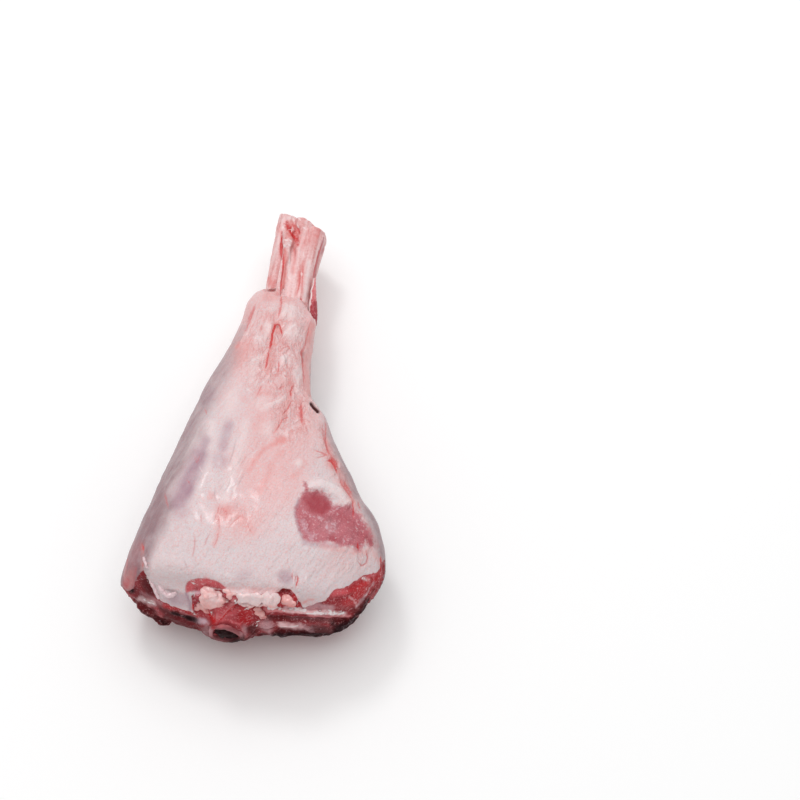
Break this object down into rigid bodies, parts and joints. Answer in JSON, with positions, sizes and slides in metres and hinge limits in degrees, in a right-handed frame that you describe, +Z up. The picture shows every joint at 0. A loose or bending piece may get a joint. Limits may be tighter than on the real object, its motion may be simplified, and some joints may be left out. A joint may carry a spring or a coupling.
{
  "type": "raw lamb shank",
  "caption": "Raw lamb shank: a tapering mass of meat in pale silverskin, dark at its cut end, on a shin bone that stands out at the hock.",
  "frame": {"origin": "middle of the flat spot that the meat rests on, straight under the bone", "axes": "+Y along the bone, from the sawn knee end to the trimmed hock end; +Z up from the surface it lies on; +X to the side where the bared muscle shows"},
  "size_m": [0.1097, 0.2118, 0.0605],
  "materials": {
    "silverskin": "raw meat under moist pale silverskin, dark red at the cut end",
    "bone_white": "fresh pinkish bone",
    "dark_marrow": "dark red marrow",
    "sinew": "glossy pale tendon"
  },
  "bodies": {
    "root": {"meat": "silverskin", "bone": "bone_white", "marrow": "dark_marrow", "tendon_front": "sinew", "tendon_side": "sinew"}
  },
  "joints": []
}
